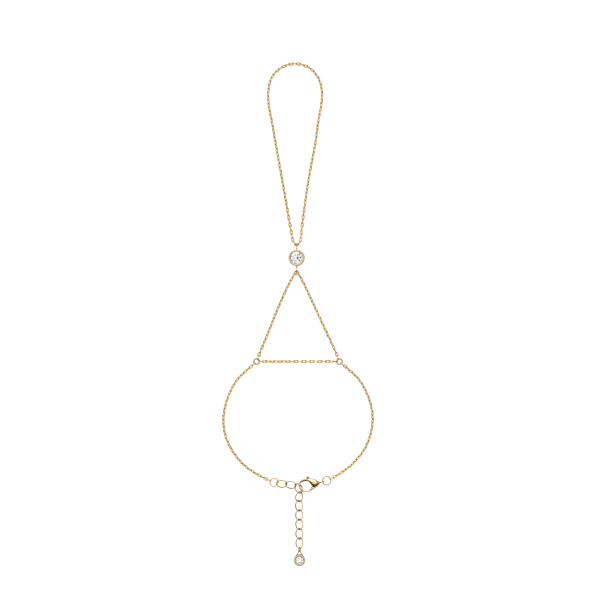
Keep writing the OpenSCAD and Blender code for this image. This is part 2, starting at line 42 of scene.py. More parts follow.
# The finger loop. It is fine oval cable chain of 0.34 mm gold-plated brass wire pressed flatter at its sides, each
# link closed through its two neighbours and turned a quarter from them. Its first link hangs in the upper bail.
chain_wire, side_wire = 0.34, 0.52  # height of the wire, and its width at a link's pressed sides
link_across, chain_pitch = 1.02, 1.33  # outer width of a link less one wire, and step from link to link
chain_rest_z, bail_z = 0.68, 0.88  # heights of the middle of an upright link on the table, and of the bails' middle
hook_lay = 0.99  # step between the joints of the link that lies through the upper bail
finger_start = np.array([-0.5, 24.41])
finger_points = [
    (-1.9, 25.8), (-2.3, 28.4), (-3.2, 33.4), (-4.8, 42.8), (-6.3, 51.2), (-7.8, 59.6),
    (-9.2, 67.6), (-10.3, 73.6), (-10.4, 78.4), (-9.2, 83), (-6.4, 86), (-2.7, 87.6),
    (1.1, 87.5), (4.8, 85.7), (7.4, 82.2), (8.4, 77.6), (8.1, 73.2), (7.1, 67.6),
    (6, 59.6), (4.4, 51.2), (3, 42.8), (1.7, 33.4), (1.1, 28.4), (0.9, 25.8),
]  # fmt: skip
# Share of the way round, and turn of the links there in degrees. At 0 they lie flat and stand upright by turns.
finger_turns = [
    (0, 0), (0.01, 10), (0.09, 22), (0.13, 45), (0.44, 45), (0.5, 28), (0.56, 45), (0.87, 45), (0.91, 22), (1, 10),
]  # fmt: skip


def linear(colour):
    """Linear colour of an sRGB hex value: c / 12.92 up to 0.04045, and ((c + 0.055) / 1.055) to the power 2.4 above."""
    c = np.array([int(colour[i : i + 2], 16) for i in (1, 3, 5)]) / 255
    return (*np.where(c <= 0.04045, c / 12.92, ((c + 0.055) / 1.055) ** 2.4), 1)


def add_node(tree, kind, inputs, **settings):
    """Adds a node with its settings. inputs gives each socket a value or the output that is linked to it."""
    node = tree.nodes.new(kind)
    for name, value in settings.items():
        setattr(node, name, value)
    for socket, value in inputs.items():
        if isinstance(value, bpy.types.NodeSocket):
            tree.links.new(value, node.inputs[socket])
        else:
            node.inputs[socket].default_value = value
    return node


def bare_material(name):
    """A new material with an empty node tree, and that tree."""
    material = bpy.data.materials.new(name)
    material.use_nodes = True
    material.node_tree.nodes.clear()
    return material, material.node_tree


def gold_finish(name, bright, painted_shade, reach, smooth, worn, patch, scratch):
    """Plated or cast gold. Painted shade turns its colour from bright to painted_shade where walls less than reach mm
    away shade it, its polish goes from smooth to worn in patches patch mm across, and it has hairlines scratch mm apart
    from tumbling."""
    material, tree = bare_material(name)
    place = add_node(tree, "ShaderNodeTexCoord", {}).outputs["Object"]
    patches = add_node(
        tree, "ShaderNodeTexNoise", {"Vector": place, "Scale": 1 / (patch * mm), "Detail": 3.0, "Roughness": 0.55}
    )
    hairlines = add_node(
        tree, "ShaderNodeTexNoise", {"Vector": place, "Scale": 1 / (scratch * mm), "Detail": 2.0, "Distortion": 1.5}
    )
    # Painted shade: the less open a point is within reach, the nearer its colour is to painted_shade.
    recess = add_node(tree, "ShaderNodeAmbientOcclusion", {"Distance": reach * mm}, samples=4)
    open_to_light = add_node(
        tree,
        "ShaderNodeMapRange",
        {"Value": recess.outputs["AO"], "From Min": 0.25, "From Max": 0.8, "To Min": 0.0, "To Max": 1.0},
    )
    colour_with_painted_shade = add_node(
        tree,
        "ShaderNodeMix",
        {"Factor": open_to_light.outputs["Result"], "A": linear(painted_shade), "B": linear(bright)},
        data_type="RGBA",
    )
    polish = add_node(
        tree,
        "ShaderNodeMapRange",
        {"Value": patches.outputs["Fac"], "From Min": 0.3, "From Max": 0.7, "To Min": smooth, "To Max": worn},
    )
    relief = add_node(
        tree, "ShaderNodeBump", {"Height": hairlines.outputs["Fac"], "Strength": 0.06, "Distance": 0.01 * mm}
    )
    metal = add_node(
        tree,
        "ShaderNodeBsdfPrincipled",
        {
            "Metallic": 1.0,
            "Base Color": colour_with_painted_shade.outputs["Result"],
            "Roughness": polish.outputs["Result"],
            "Normal": relief.outputs["Normal"],
        },
    )
    add_node(tree, "ShaderNodeOutputMaterial", {"Surface": metal.outputs["BSDF"]})
    return material


def make_piece(name, shells, finish, body="bracelet", stands_for=()):
    """One mesh of several shells, each its points in mm and its faces. Points less than same_point metres apart become
    one, which closes the poles, and faces are turned outwards."""
    same_point = 1e-7
    points = np.concatenate([np.reshape(p, (-1, 3)) for p, _ in shells])
    starts = np.cumsum([0] + [np.reshape(p, (-1, 3)).shape[0] for p, _ in shells[:-1]])
    faces = np.concatenate([f + start for (_, f), start in zip(shells, starts)])
    mesh = bpy.data.meshes.new(name)
    mesh.from_pydata((points * mm).tolist(), [], faces.tolist())
    shape = bmesh.new()
    shape.from_mesh(mesh)
    bmesh.ops.remove_doubles(shape, verts=shape.verts, dist=same_point)
    bmesh.ops.recalc_face_normals(shape, faces=shape.faces)
    shape.to_mesh(mesh)
    shape.free()
    mesh.polygons.foreach_set("use_smooth", np.ones(len(mesh.polygons), bool))
    mesh.materials.append(finish)
    obj = bpy.data.objects.new(name, mesh)
    bpy.context.scene.collection.objects.link(obj)
    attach(obj, body)
    if stands_for:
        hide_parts(*stands_for)


def grid_faces(rows, sides, closed, copies=1):
    """Four-cornered faces between neighbouring rows of sides points, the last row joined to the first if closed."""
    i = np.arange(rows if closed else rows - 1)[:, None]
    k = np.arange(sides)[None, :]
    j, m = (i + 1) % rows, (k + 1) % sides
    quads = np.stack([i * sides + k, j * sides + k, j * sides + m, i * sides + m], -1).reshape(-1, 4)
    return (quads + np.arange(copies)[:, None, None] * rows * sides).reshape(-1, 4)


def carried(path, wide, high, sides, closed, up=(0, 0, 1)):
    """An oval carried along a path: path + wide c side + high s top, where c and s are the cosine and sine of an even
    turn, side is square to the path and to up, and top is square to both."""
    path = np.asarray(path, float)
    if closed:
        way = np.roll(path, -1, 0) - np.roll(path, 1, 0)
    else:
        way = np.gradient(path, axis=0)
    way /= np.linalg.norm(way, axis=1, keepdims=True)
    side = np.cross(way, up)
    side /= np.linalg.norm(side, axis=1, keepdims=True)
    top = np.cross(side, way)
    turn = np.arange(sides) / sides * 2 * np.pi
    c, s = np.cos(turn), np.sin(turn)
    wide, high = (np.broadcast_to(w, len(path))[:, None, None] for w in (wide, high))
    return path[:, None] + wide * c[None, :, None] * side[:, None] + high * s[None, :, None] * top[:, None]


def smooth_route(points, closed, steps=12):
    """Curve through the points: half of 2b + (c - a)t + (2a - 5b + 4c - d)t² + (3b - a - 3c + d)t³ from b to c, with
    a before and d after them. An open route goes straight on past its ends."""
    p = np.asarray(points, float)
    p = np.vstack([p[-1:], p, p[:2]] if closed else [2 * p[0] - p[1], p, 2 * p[-1] - p[-2]])
    a, b, c, d = (p[i : len(p) - 3 + i, None] for i in range(4))
    t = (np.arange(steps) / steps)[None, :, None]
    curve = 0.5 * (2 * b + (c - a) * t + (2 * a - 5 * b + 4 * c - d) * t**2 + (3 * b - a - 3 * c + d) * t**3)
    return np.vstack([curve.reshape(-1, p.shape[1]), p[-2]])


def run_lengths(route):
    """Distance run at each point of a route."""
    return np.concatenate([[0], np.cumsum(np.linalg.norm(np.diff(route, axis=0), axis=1))])


def lift_near_bail(distance, top_z):
    """Lift of joints at that distance from a bail: up to top_z as far as 1 mm, then evenly down to none at 6 mm."""
    top_lift = top_z - chain_rest_z
    return np.interp(distance, (0, 1, 6), (top_lift, top_lift, 0))


def chain_links(route, joints, first_roll, shares, turns, lift):
    """Fine links along a route, each from one of the joints, distances run, to the next. A link is turned a quarter
    more than the last, plus the turns at its share of the route. It rests on its lowest side, with lift added. It is
    longer than the step between joints by the wire, so that neighbours touch. The wire is as wide as high at the
    link's ends, and its width grows with sin² of the bend to side_wire at its flattened sides."""
    end_rows, wire_sides = 8, 6
    runs = run_lengths(route)
    along = np.where(joints < 0, joints + runs[-1], joints)
    turn = np.radians(np.interp(along / runs[-1], *np.transpose(turns)))
    z = chain_wire / 2 + link_across / 2 * np.maximum(np.abs(np.cos(turn)), np.abs(np.sin(turn))) + lift
    ends = np.stack([np.interp(along, runs, route[:, 0]), np.interp(along, runs, route[:, 1]), z], 1)
    way = np.diff(ends, axis=0)
    long = way / np.linalg.norm(way, axis=1, keepdims=True)
    level = np.cross((0, 0, 1), long)
    level /= np.linalg.norm(level, axis=1, keepdims=True)
    roll = np.radians(first_roll + 90 * np.arange(len(way)) + np.interp(shares, *np.transpose(turns)))[:, None]
    across = np.cos(roll) * level + np.sin(roll) * np.cross(long, level)
    frames = np.stack([long, across, np.cross(long, across)], 1)
    bend = np.radians(np.linspace(-90, 90, end_rows))
    straight = (np.median(np.linalg.norm(way, axis=1)) + chain_wire - link_across) / 2
    side_across = link_across - (side_wire - chain_wire)
    end = np.stack([straight + link_across / 2 * np.cos(bend), side_across / 2 * np.sin(bend), 0 * bend], 1)
    oval = np.vstack([end, end * (-1, -1, 1)])
    wide = chain_wire + (side_wire - chain_wire) * np.sin(np.append(bend, bend)) ** 2
    link = carried(oval, wide / 2, chain_wire / 2, wire_sides, True)
    points = np.einsum("rsk,nkj->nrsj", link, frames) + ((ends[1:] + ends[:-1]) / 2)[:, None, None]
    return points, grid_faces(len(oval), wire_sides, True, len(way))


# Gold-plated brass wire, tumbled after linking: each link has a soft bright light, and painted shade makes it brown
# where links cross.
wire_gold = gold_finish(
    "tumbled gold-plated wire", "#FEDC92", "#7E5E2C", reach=0.6, smooth=0.12, worn=0.24, patch=0.5, scratch=0.08
)
finger_route = smooth_route(
    [finger_start, finger_start - (hook_lay / 2, 0), *finger_points, finger_start + (hook_lay / 2, 0)], True
)
finger_run = run_lengths(finger_route)[-1]
finger_count = 2 * round(finger_run / chain_pitch / 2)
finger_joints = np.append(-hook_lay / 2, np.linspace(hook_lay / 2, finger_run - hook_lay / 2, finger_count))
from_bail = np.minimum(np.abs(finger_joints), finger_run - finger_joints)
make_piece(
    "finger_links",
    [
        chain_links(
            finger_route,
            finger_joints,
            first_roll=0,
            shares=np.arange(finger_count) / finger_count,
            turns=finger_turns,
            lift=lift_near_bail(from_bail, bail_z),
        )
    ],
    wire_gold,
    stands_for=["finger_chain"],
)

# The main setting: a round cup turned from gold, its wall pressed over the stone's edge and polished to a soft
# lip, with an upright wire bail soldered on by a short post above and below.
bezel_at = np.array([-0.5, 19.8])
bail_r, bail_wire = 0.73, 0.3
upper_bail_y, lower_bail_y, post_from = 23.68, 15.67, 2.6
# Gold polished on a soft wheel: clean bright lights on the lip, deep brown where its walls face each other, partly
# their real reflections of each other and partly painted shade.
polished_gold = gold_finish(
    "polished gold setting", "#F6D9A2", "#6A4C20", reach=0.9, smooth=0.08, worn=0.18, patch=1.2, scratch=0.15
)


def cup_shell(centre, stone_d, wall, floor, rim_h, sides=64):
    """A profile turned about an upright axis: flat back, rounded foot, straight wall, a lip that is half a squarish
    oval, its cosine and sine raised to lip_soft, and the stepped seat under the stone's edge."""
    r, gap, slope, girdle = stone_d / 2, 0.05, 0.82, 0.1
    foot_r, lip_over, lip_sunk, lip_soft, under_in, under_up = 0.25, 0.14, 0.05, 0.85, 0.08, 0.13
    out = r + gap + wall
    edge = floor + gap + slope / 2 * stone_d + girdle
    foot = np.radians(np.arange(-90, 1, 15))
    lip = np.radians(np.arange(0, 156, 9))
    lip_half = (out - (r - lip_over)) / 2
    ledge_r = r - wall / 2
    ledge_z = edge - girdle - slope * (r - ledge_r) - gap * np.hypot(1, slope)
    profile = np.vstack(
        [
            [[0, 0], [out * 0.5, 0]],
            np.stack([out - foot_r + foot_r * np.cos(foot), foot_r + foot_r * np.sin(foot)], 1),
            [[out, edge * 0.5]],
            np.stack(
                [
                    out - lip_half + lip_half * np.sign(np.cos(lip)) * np.abs(np.cos(lip)) ** lip_soft,
                    edge - lip_sunk + (rim_h + lip_sunk) * np.sin(lip) ** lip_soft,
                ],
                1,
            ),
            [[r - under_in, edge + under_up], [r + gap, edge + gap], [r + gap, edge - girdle - gap]],
            [[ledge_r, ledge_z], [ledge_r, floor], [0, floor]],
        ]
    )
    turn = np.arange(sides) / sides * 2 * np.pi
    around = np.stack([np.cos(turn), np.sin(turn)], 1)
    points = np.empty((len(profile), sides, 3))
    points[..., :2] = np.asarray(centre) + profile[:, None, :1] * around
    points[..., 2] = profile[:, 1:]
    return points, grid_faces(len(profile), sides, False)


def ring_shell(centre, toward, across, ring_r, wire_r, rows=40, sides=12):
    """Round wire bent to a circle: centre + ring_r (cos toward + sin across)."""
    toward, across = np.asarray(toward, float), np.asarray(across, float)
    turn = (np.arange(rows) / rows * 2 * np.pi)[:, None]
    path = np.asarray(centre) + ring_r * (np.cos(turn) * toward + np.sin(turn) * across)
    return carried(path, wire_r, wire_r, sides, True, np.cross(toward, across)), grid_faces(rows, sides, True)


def post_shell(start, end, start_r, end_r, waist_r, rows=13, sides=20):
    """A solder post: round about the line from start to end, its radius waist_r + (start_r - waist_r)(1 - t)³ +
    (end_r - waist_r)t³ at share t, and none in the two end rows, which a nudge keeps apart from their neighbours."""
    nudge = 1e-4
    start, end = np.asarray(start, float), np.asarray(end, float)
    t = np.concatenate([[0], np.linspace(0, 1, rows), [1]])[:, None]
    radius = (waist_r + (start_r - waist_r) * (1 - t) ** 3 + (end_r - waist_r) * t**3)[:, 0]
    radius[[0, -1]] = 0
    path = start + (end - start) * (t + nudge * (np.arange(len(t))[:, None] - len(t) / 2))
    return carried(path, radius, radius, sides, False), grid_faces(len(t), sides, False)


bezel_shells = [cup_shell(bezel_at, stone_d=4.5, wall=0.6, floor=0.25, rim_h=0.35)]
for side, ring_y in ((1, upper_bail_y), (-1, lower_bail_y)):
    in_wall = (bezel_at[0], bezel_at[1] + side * post_from, bail_z)
    at_bail = (bezel_at[0], ring_y - side * bail_r, bail_z)
    bezel_shells += [
        ring_shell((bezel_at[0], ring_y, bail_z), (0, 1, 0), (0, 0, 1), bail_r, bail_wire / 2),
        post_shell(in_wall, at_bail, start_r=0.6, end_r=0.2, waist_r=0.19),
    ]
make_piece("bezel_cup", bezel_shells, polished_gold, stands_for=["bezel_setting"])


# The stones are round brilliants of clear cubic zirconia with 57 polished facets, 4.5 and 3 mm across. They bend
# light strongly, so they show white flashes and dark wedges and nothing of their cups' backs.
def stone_finish(name, tint, cloud):
    """Clear polished stone, with faint clouds of tint that many mm across."""
    material, tree = bare_material(name)
    place = add_node(tree, "ShaderNodeTexCoord", {}).outputs["Object"]
    clouds = add_node(tree, "ShaderNodeTexNoise", {"Vector": place, "Scale": 1 / (cloud * mm), "Detail": 2.0})
    colour = add_node(
        tree,
        "ShaderNodeMix",
        {"Factor": clouds.outputs["Fac"], "A": linear("#FFFFFF"), "B": linear(tint)},
        data_type="RGBA",
    )
    glass = add_node(
        tree,
        "ShaderNodeBsdfPrincipled",
        {"Base Color": colour.outputs["Result"], "Roughness": 0.0, "IOR": 2.17, "Transmission Weight": 1.0},
    )
    add_node(tree, "ShaderNodeOutputMaterial", {"Surface": glass.outputs["BSDF"]})
    return material


clear_stone = stone_finish("clear cubic zirconia", "#F1F3FA", 0.8)
for stone in ("bezel_stone", "drop_stone"):
    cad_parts[stone].material_slots[0].material = clear_stone

# The V over the back of the hand: two equal sides of the same fine chain. Their top links lie one over the
# other in the lower bail, and their end links stand upright in the junction rings.
hand_top = np.array([-0.5, 15.1])
junction_left, junction_right = np.array([-14.5, -16.5]), np.array([14.5, -16.5])
junction_r, junction_wire = 1.25, 0.5
junction_hole = junction_r - junction_wire
crossing_gap = 0.02
hand_points_left = [(-13.3, -13.2), (-12.1, -10.4), (-9.8, -4.8), (-7.6, 0.8), (-5.1, 6.6), (-2.5, 12)]
hand_points_right = [(13.2, -13.2), (11.9, -10.4), (9.3, -4.8), (6.7, 0.8), (4, 6.6), (1.4, 12)]
hand_turns = [(0, 0), (0.2, 45), (0.9, 45), (0.96, 15), (1, 25)]


def ring_meet(centre, hole, toward, inset=0.05):
    """Where a chain ends in a flat ring: inset from its hole's edge, on the side of the chain's next point."""
    way = np.asarray(toward) - centre
    return centre + way / np.linalg.norm(way) * (hole - inset)


def hand_side(junction, points, top_z):
    """One side of the V from its junction ring up to the bail, where its top link lies at top_z."""
    route = smooth_route([ring_meet(junction, junction_hole, points[0]), *points, hand_top], False)
    run = run_lengths(route)[-1]
    count = 2 * round(run / chain_pitch / 2)
    joints = np.linspace(0, run, count + 1)
    return chain_links(
        route,
        joints,
        first_roll=90,
        shares=(np.arange(count) + 0.5) / count,
        turns=hand_turns,
        lift=lift_near_bail(run - joints, top_z),
    )


make_piece(
    "hand_links",
    [
        hand_side(junction_left, hand_points_left, bail_z + chain_wire / 2 + crossing_gap),
        hand_side(junction_right, hand_points_right, bail_z - chain_wire / 2 - crossing_gap),
    ],
    wire_gold,
    stands_for=["hand_chain"],
)

# The cross chain, a short taut run of the same chain between the junction rings, and the wrist chains that go on
# from them. The rings are plain rounds of wire, bent and soldered shut, the junction rings of 0.5 mm wire.
taut_pitch = 1.4
cross_turns = [(0.1, 45), (0.35, 45), (0.48, 14), (0.86, 14), (0.94, 45)]
wrist_turns = [(0.12, 45), (0.88, 45)]
wrist_points_left = [
    (-17.2, -18.9), (-21.4, -23), (-24.4, -28.6), (-25.9, -34.2), (-26.1, -38.6),
    (-25.2, -43.2), (-23, -47.8), (-19.3, -52.4), (-15.6, -55.2), (-12, -57.2),
]  # fmt: skip
wrist_points_right = [
    (17.1, -18.8), (21.5, -23), (24.5, -28.6), (26, -34.2), (26, -38.6),
    (25, -43.2), (22.9, -47.8), (19, -52.4), (15.6, -55.1), (12.8, -56.8),
]  # fmt: skip
extender_ring_at = np.array([-8.4, -58.8])
extender_ring_r, extender_ring_wire = 1.625, 0.4
clasp_at, clasp_turn = np.array([5, -59.4]), np.radians(193)
clasp_way = np.array([np.cos(clasp_turn), np.sin(clasp_turn)])
clasp_eye_u, eye_to_ring = -3.67, 1.49
clasp_ring_at = clasp_at + clasp_way * (clasp_eye_u - eye_to_ring)
clasp_ring_r, clasp_ring_wire = 1.7, 0.42


def ring_to_ring(name, points, node, turns, longest):
    """Fine chain between two flat rings, its end links upright, in equal steps no longer than longest."""
    route = smooth_route(points, False)
    run = run_lengths(route)[-1]
    count = int(np.ceil(run / longest))
    last_turn = 0 if count % 2 else 90
    links = chain_links(
        route,
        np.linspace(0, run, count + 1),
        first_roll=90,
        shares=(np.arange(count) + 0.5) / count,
        turns=[(0, 0), *turns, (1, last_turn)],
        lift=0,
    )
    make_piece(name, [links], wire_gold, stands_for=[node])


ring_to_ring(
    "cross_links",
    [
        ring_meet(junction_left, junction_hole, junction_right),
        ring_meet(junction_right, junction_hole, junction_left),
    ],
    "cross_chain",
    cross_turns,
    taut_pitch,
)
ring_to_ring(
    "wrist_links_left",
    [
        ring_meet(junction_left, junction_hole, wrist_points_left[0]),
        *wrist_points_left,
        ring_meet(extender_ring_at, extender_ring_r - extender_ring_wire, wrist_points_left[-1]),
    ],
    "wrist_chain_left",
    wrist_turns,
    chain_pitch,
)
ring_to_ring(
    "wrist_links_right",
    [
        ring_meet(junction_right, junction_hole, wrist_points_right[0]),
        *wrist_points_right,
        ring_meet(clasp_ring_at, clasp_ring_r - clasp_ring_wire, wrist_points_right[-1]),
    ],
    "wrist_chain_right",
    wrist_turns,
    chain_pitch,
)
# Thicker plated wire, tumbled in bulk: even satin lights, and painted shade makes it warm brown on the insides.
ring_gold = gold_finish(
    "gold-plated ring wire", "#E4C389", "#7E5020", reach=0.6, smooth=0.1, worn=0.22, patch=0.8, scratch=0.12
)
for ring in ("extender_ring", "drop_ring"):
    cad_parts[ring].material_slots[0].material = ring_gold
# The same wire after the torch that closed it: a duller, browner gold, with painted shade on its insides that reaches
# further.
soldered_gold = gold_finish(
    "gold-plated ring wire, soldered", "#D2AA6C", "#6E4418", reach=0.8, smooth=0.12, worn=0.24, patch=0.8, scratch=0.12
)
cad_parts["clasp_ring"].material_slots[0].material = soldered_gold
for side, junction in (("left", junction_left), ("right", junction_right)):
    middle_r, wire_r = junction_r - junction_wire / 2, junction_wire / 2
    loop = ring_shell((*junction, chain_rest_z), (1, 0, 0), (0, 1, 0), middle_r, wire_r)
    make_piece(f"junction_loop_{side}", [loop], soldered_gold, stands_for=[f"junction_ring_{side}"])

# The clasp is a cast and polished lobster clasp. Its hook grows out of the tail and bends round to the tip, two
# cheeks hold the lever between them on a pin, and an upright eye stands on the neck.
clasp_mid_z, slot_half = 1.15, 0.44
eye_r, eye_wire_r = 0.72, 0.2
claw_at = np.array([2.45, 0.1])


def at_clasp(points):
    """From the clasp's own axes, u to the claw, v to the lever and z up, to the bracelet's: a turn by 193 degrees
    with v reversed first."""
    u, v, z = np.moveaxis(np.asarray(points, float), -1, 0)
    c, s = np.cos(clasp_turn), np.sin(clasp_turn)
    return np.stack([clasp_at[0] + u * c + v * s, clasp_at[1] + u * s - v * c, z], -1)


def clasp_loft(sections, low=-2.0, lean=0.0, fall=0.0, soft=1.0, sides=32):
    """Squarish ovals carried through sections of inner edge u v, outer edge u v and half height: the middle of the
    edges + half their distance (c + lean s) outwards + half height (s - fall c) upwards, where c and s are the cosine
    and sine of an even turn with their sizes raised to soft. No point is less than low above the clasp's middle."""
    inner_u, inner_v, outer_u, outer_v, high = smooth_route(sections, False, steps=10).T[:, :, None]
    high = np.maximum(high, 0)
    turn = np.arange(sides) / sides * 2 * np.pi
    c, s = (np.sign(f) * np.abs(f) ** soft for f in (np.cos(turn), np.sin(turn)))
    out = (c + lean * s) / 2
    u = (inner_u + outer_u) / 2 + (outer_u - inner_u) * out
    v = (inner_v + outer_v) / 2 + (outer_v - inner_v) * out
    z = clasp_mid_z + np.maximum(high * (s - fall * c), low)
    return at_clasp(np.stack([u, v, z], -1)), grid_faces(len(high), sides, False)


def on_claw(angle, radius):
    """Point at that angle and radius from the claw's centre."""
    return claw_at[0] + radius * np.cos(np.radians(angle)), claw_at[1] + radius * np.sin(np.radians(angle))


# The hook, from the tail along the clasp's far side and round to its tip.
hook_sections = [
    (-3.0, 0, -3.0, 0, 0),
    (-2.93, 0.26, -2.93, -0.26, 0.3),
    (-2.6, 0.0, -2.6, -0.5, 0.5),
    (-2.2, -0.34, -2.15, -0.86, 0.74),
    (-1.6, -0.58, -1.5, -1.26, 0.9),
    (-1.0, -0.8, -0.92, -1.52, 0.98),
    (-0.4, -0.9, -0.33, -1.75, 1.0),
    (0.14, -0.72, 0.27, -1.95, 0.98),
    (0.62, -0.9, 0.82, -2.12, 0.88),
    (1.12, -1.42, 1.4, -2.3, 0.72),
    (1.85, -1.8, 2.08, -2.36, 0.57),
    (*on_claw(-78, 1.95), *on_claw(-78, 2.45), 0.53),
    (*on_claw(-50, 1.93), *on_claw(-50, 2.45), 0.525),
    (*on_claw(-20, 1.88), *on_claw(-20, 2.45), 0.525),
    (*on_claw(10, 1.86), *on_claw(10, 2.45), 0.525),
    (*on_claw(30, 1.92), *on_claw(30, 2.43), 0.51),
    (*on_claw(35.2, 1.97), *on_claw(35.2, 2.38), 0.46),
    (*on_claw(36, 2.18), *on_claw(36, 2.18), 0),
]
# The trunk, which joins the hook to the cheeks at the tail.
trunk_sections = [
    (-2.95, 0, -2.95, 0, 0),
    (-2.8, -0.3, -2.8, 0.3, 0.38),
    (-2.3, -0.5, -2.3, 0.5, 0.55),
    (-1.7, -0.8, -1.8, 0.98, 0.55),
    (-1.35, -0.9, -1.4, 1.2, 0.5),
    (-1.15, 0.1, -1.15, 0.1, 0.3),
]
# The upper cheek, from the tail past the pin to the claw. Its inner edge is S-shaped.
cheek_sections = [
    (-2.75, 0.02, -2.75, 0.02, 0),
    (-2.5, -0.02, -2.5, 0.24, 0.45),
    (-2.15, -0.12, -2.2, 0.62, 0.82),
    (-1.65, -0.3, -1.75, 1.14, 1.02),
    (-1.1, -0.5, -1.2, 1.53, 1.12),
    (-0.5, -0.4, -0.6, 1.84, 1.12),
    (-0.06, 0.12, -0.05, 2.04, 1.12),
    (0.42, 0.94, 0.5, 2.2, 1.06),
    (0.9, 1.5, 1.0, 2.25, 0.95),
    (1.26, 1.8, 1.36, 2.25, 0.8),
    (1.55, 2.05, 1.55, 2.05, 0.6),
]
# The wall inside that edge, which goes down into the slot.
inner_wall = [
    (-2.4, -0.15, -2.4, -0.15, 0.45),
    (-2.2, -0.32, -2.2, -0.02, 0.6),
    (-1.7, -0.52, -1.7, -0.14, 0.8),
    (-1.1, -0.8, -1.12, -0.24, 0.92),
    (-0.36, -0.94, -0.5, -0.26, 0.98),
    (0.1, -0.6, -0.14, 0.0, 1.0),
    (0.36, -0.16, 0.0, 0.2, 0.98),
    (0.6, 0.3, 0.24, 0.56, 0.95),
    (0.8, 0.7, 0.52, 1.0, 0.9),
    (1.04, 1.12, 0.84, 1.44, 0.8),
    (1.3, 1.42, 1.16, 1.74, 0.66),
    (1.5, 1.66, 1.5, 1.66, 0.5),
]
cheek_top = clasp_loft(cheek_sections, low=slot_half, lean=0.1, fall=0.14, soft=0.55)
wall_top = clasp_loft(inner_wall, low=slot_half, soft=0.6)


def other_side(shell):
    """The same shell mirrored to the clasp's lower half."""
    return shell[0] * (1, 1, -1) + (0, 0, 2 * clasp_mid_z), shell[1]


# Cast gold, polished on a wheel: long smooth lights along the hook, and painted shade makes it brown in its hollows.
cast_gold = gold_finish(
    "cast gold clasp, polished", "#F6D8A0", "#6A4214", reach=0.8, smooth=0.06, worn=0.16, patch=1.5, scratch=0.2
)
eye_at = at_clasp((clasp_eye_u, 0, clasp_mid_z))
neck_from, neck_to = (at_clasp((u, 0, clasp_mid_z)) for u in (-3.05, -2.6))
make_piece(
    "clasp_casting",
    [
        clasp_loft(hook_sections, fall=0.1),
        clasp_loft(trunk_sections, soft=0.6),
        post_shell(neck_from, neck_to, start_r=0.28, end_r=0.42, waist_r=0.26),
        ring_shell(eye_at, (*clasp_way, 0), (0, 0, 1), eye_r, eye_wire_r),
    ],
    cast_gold,
    stands_for=["clasp_body"],
)
# The cheeks are buffed with a soft mop, so no sharp dark shows in them; their pale face is a painted highlight, a paler
# gold than the casting's.
buffed_gold_painted_highlight = gold_finish(
    "cast gold cheek, softly buffed, painted paler", "#FEE5BA", "#80542A", reach=0.6, smooth=0.2, worn=0.3, patch=1.5, scratch=0.2
)
make_piece("clasp_cheeks", [cheek_top, other_side(cheek_top)], buffed_gold_painted_highlight)
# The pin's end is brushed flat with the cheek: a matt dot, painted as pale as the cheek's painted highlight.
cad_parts["clasp_rivet"].material_slots[0].material = gold_finish(
    "gold pin end, brushed, painted pale", "#FEE5BA", "#E0C08C", reach=0.3, smooth=0.4, worn=0.5, patch=0.5, scratch=0.1
)
# No wheel gets into the slot, so its walls stay dull and grainy as cast; their dark brown is painted shade.
painted_shade_cast_gold = gold_finish(
    "cast gold, dark with painted shade", "#5C4224", "#2E2008", reach=0.6, smooth=0.28, worn=0.45, patch=0.3, scratch=0.06
)
make_piece("clasp_inner_wall", [wall_top, other_side(wall_top)], painted_shade_cast_gold)

# The lever turns on the pin between the cheeks. Its bent arm closes the claw, and the thumb draws it back by the
# small ribbed knob. Its inner side and its knob are coloured darker than the rest: painted shade.
knob_angle = 118
lever_sections = [
    (-1.0, 0.05, -1.0, 0.05, 0),
    (-0.62, -0.1, -0.95, 0.9, 0.32),
    (0.0, -0.1, -0.6, 1.45, 0.36),
    (0.55, 0.62, 0.08, 1.82, 0.36),
    (1.0, 1.3, 0.75, 2.08, 0.36),
    (1.42, 1.7, 1.3, 2.22, 0.38),
    (*on_claw(104, 1.76), *on_claw(104, 2.45), 0.46),
    (*on_claw(88, 1.76), *on_claw(88, 2.45), 0.52),
    (*on_claw(70, 1.8), *on_claw(70, 2.45), 0.52),
    (*on_claw(52, 1.9), *on_claw(52, 2.45), 0.52),
    (*on_claw(42, 1.98), *on_claw(42, 2.44), 0.5),
    (*on_claw(38, 2.02), *on_claw(38, 2.38), 0.46),
    (*on_claw(37.2, 2.2), *on_claw(37.2, 2.2), 0),
]
lever_inner_side = [
    (*on_claw(124, 1.7), *on_claw(124, 1.7), 0.2),
    (*on_claw(118, 1.54), *on_claw(118, 1.86), 0.36),
    (*on_claw(104, 1.5), *on_claw(104, 1.9), 0.42),
    (*on_claw(88, 1.52), *on_claw(88, 1.88), 0.46),
    (*on_claw(70, 1.58), *on_claw(70, 1.9), 0.46),
    (*on_claw(52, 1.7), *on_claw(52, 2.0), 0.46),
    (*on_claw(42, 1.82), *on_claw(42, 2.08), 0.44),
    (*on_claw(38, 1.88), *on_claw(38, 2.1), 0.4),
    (*on_claw(37.2, 2.0), *on_claw(37.2, 2.0), 0.2),
]
knob_post_from, knob_post_to = (at_clasp((*on_claw(knob_angle, radius), clasp_mid_z)) for radius in (2.1, 2.8))
make_piece(
    "lever",
    [
        clasp_loft(lever_sections, lean=0.2, soft=0.6),
        post_shell(knob_post_from, knob_post_to, start_r=0.3, end_r=0.24, waist_r=0.22),
    ],
    cast_gold,
    body="lever",
    stands_for=["clasp_lever"],
)


